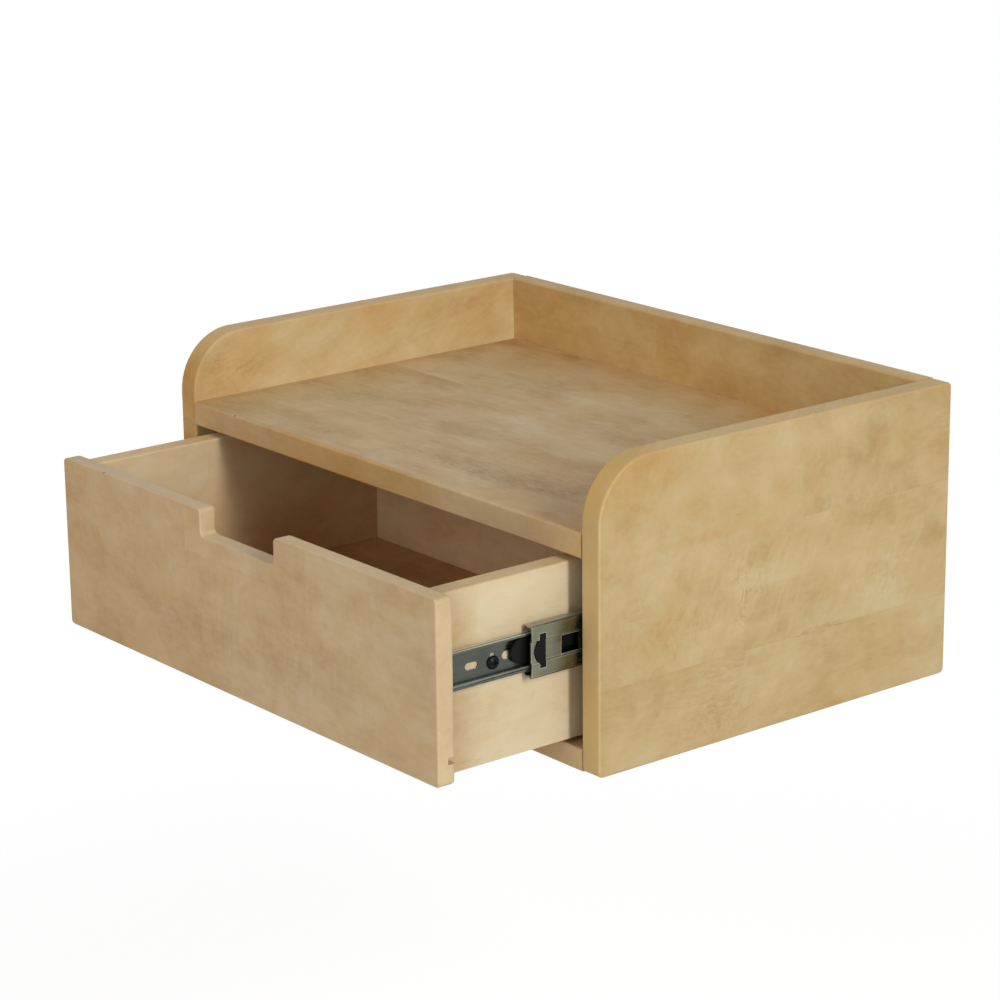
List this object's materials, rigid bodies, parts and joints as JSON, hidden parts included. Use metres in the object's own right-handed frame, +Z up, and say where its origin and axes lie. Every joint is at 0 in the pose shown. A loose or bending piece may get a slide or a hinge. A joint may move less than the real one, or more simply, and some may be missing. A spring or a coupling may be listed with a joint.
{
  "type": "floating nightstand",
  "caption": "Wall-hung wooden nightstand: a rimmed open shelf over one drawer with a finger notch, on telescopic ball-bearing slides.",
  "frame": {"origin": "middle of the carcass's underside", "axes": "+X to the right seen from the front, -Y out of the front where the drawer opens, +Y into the wall, +Z up"},
  "size_m": [0.457, 0.4181, 0.203],
  "materials": {
    "pale_wood": "pale tan hardwood under a thin satin lacquer",
    "drawer_wood": "paler hardwood, lightly lacquered",
    "drawer_ply": "thin veneered plywood, warm brown",
    "dowel_wood": "plain beech",
    "bright_zinc": "bright zinc plate on rolled steel",
    "dark_zinc": "blue-black zinc plate on rolled steel",
    "ball_steel": "polished steel balls in a steel cage",
    "black_screw": "black-finished steel screw",
    "black_plastic": "moulded black plastic"
  },
  "bodies": {
    "carcass": {"top_shelf": "pale_wood", "bottom_panel": "pale_wood", "back_panel": "pale_wood", "left_side_panel": "pale_wood", "shelf_dowel_front_left": "dowel_wood", "shelf_dowel_rear_left": "dowel_wood", "bottom_dowel_front_left": "dowel_wood", "bottom_dowel_rear_left": "dowel_wood", "back_dowel_lower_left": "dowel_wood", "back_dowel_upper_left": "dowel_wood", "hanger_plate_left": "bright_zinc", "hanger_screw_lower_left": "bright_zinc", "hanger_screw_upper_left": "bright_zinc", "slide_cabinet_member_left": "bright_zinc", "slide_rear_bumper_left": "black_plastic", "cabinet_screw_front_left": "bright_zinc", "cabinet_screw_rear_left": "bright_zinc", "right_side_panel": "pale_wood", "shelf_dowel_front_right": "dowel_wood", "shelf_dowel_rear_right": "dowel_wood", "bottom_dowel_front_right": "dowel_wood", "bottom_dowel_rear_right": "dowel_wood", "back_dowel_lower_right": "dowel_wood", "back_dowel_upper_right": "dowel_wood", "hanger_plate_right": "bright_zinc", "hanger_screw_lower_right": "bright_zinc", "hanger_screw_upper_right": "bright_zinc", "slide_cabinet_member_right": "bright_zinc", "slide_rear_bumper_right": "black_plastic", "cabinet_screw_front_right": "bright_zinc", "cabinet_screw_rear_right": "bright_zinc"},
    "middle_right": {"slide_middle_member_right": "bright_zinc", "slide_catch_right": "black_plastic"},
    "middle_left": {"slide_middle_member_left": "bright_zinc", "slide_catch_left": "black_plastic"},
    "outer_cage_right": {"outer_ball_cage_right": "ball_steel"},
    "outer_cage_left": {"outer_ball_cage_left": "ball_steel"},
    "inner_cage_right": {"inner_ball_cage_right": "ball_steel"},
    "inner_cage_left": {"inner_ball_cage_left": "ball_steel"},
    "drawer": {"drawer_front": "pale_wood", "drawer_back": "drawer_wood", "drawer_bottom": "drawer_ply", "drawer_side_left": "drawer_wood", "drawer_front_dowel_lower_left": "dowel_wood", "drawer_front_dowel_upper_left": "dowel_wood", "drawer_back_dowel_lower_left": "dowel_wood", "drawer_back_dowel_upper_left": "dowel_wood", "slide_drawer_member_left": "dark_zinc", "drawer_screw_front_left": "black_screw", "drawer_screw_rear_left": "black_screw", "drawer_side_right": "drawer_wood", "drawer_front_dowel_lower_right": "dowel_wood", "drawer_front_dowel_upper_right": "dowel_wood", "drawer_back_dowel_lower_right": "dowel_wood", "drawer_back_dowel_upper_right": "dowel_wood", "slide_drawer_member_right": "dark_zinc", "drawer_screw_front_right": "black_screw", "drawer_screw_rear_right": "black_screw"},
    "lever_right": {"release_lever_right": "black_plastic"},
    "lever_left": {"release_lever_left": "black_plastic"}
  },
  "joints": [
    {"name": "middle_slide_right", "type": "slide", "parent": "carcass", "child": "middle_right", "axis": [0, -1, 0], "range_m": [-0.0528, 0.0472]},
    {"name": "drawer_slide", "type": "slide", "parent": "middle_right", "child": "drawer", "axis": [0, -1, 0], "range_m": [-0.0582, 0.0418]},
    {"name": "middle_slide_left", "type": "slide", "parent": "carcass", "child": "middle_left", "axis": [0, -1, 0], "range_m": [-0.0528, 0.0472]},
    {"name": "outer_cage_slide_right", "type": "slide", "parent": "carcass", "child": "outer_cage_right", "axis": [0, -1, 0], "range_m": [-0.0264, 0.0236]},
    {"name": "inner_cage_slide_right", "type": "slide", "parent": "middle_right", "child": "inner_cage_right", "axis": [0, -1, 0], "range_m": [-0.0291, 0.0209]},
    {"name": "release_lever_tip_right", "type": "hinge", "parent": "drawer", "child": "lever_right", "pos_m": [0.2013, -0.1663, 0.0857], "axis": [1, 0, 0], "range_deg": [0, 5], "stiffness_Nm_per_rad": 0.3, "springref_deg": -1.72},
    {"name": "outer_cage_slide_left", "type": "slide", "parent": "carcass", "child": "outer_cage_left", "axis": [0, -1, 0], "range_m": [-0.0264, 0.0236]},
    {"name": "inner_cage_slide_left", "type": "slide", "parent": "middle_left", "child": "inner_cage_left", "axis": [0, -1, 0], "range_m": [-0.0291, 0.0209]},
    {"name": "release_lever_tip_left", "type": "hinge", "parent": "drawer", "child": "lever_left", "pos_m": [-0.2013, -0.1663, 0.0857], "axis": [1, 0, 0], "range_deg": [0, 5], "stiffness_Nm_per_rad": 0.3, "springref_deg": -1.72}
  ],
  "couplings": [
    {"joint": "middle_slide_left", "follows": "middle_slide_right", "ratio": 1},
    {"joint": "outer_cage_slide_right", "follows": "middle_slide_right", "ratio": 0.5},
    {"joint": "inner_cage_slide_right", "follows": "drawer_slide", "ratio": 0.5},
    {"joint": "outer_cage_slide_left", "follows": "middle_slide_right", "ratio": 0.5},
    {"joint": "inner_cage_slide_left", "follows": "drawer_slide", "ratio": 0.5}
  ]
}
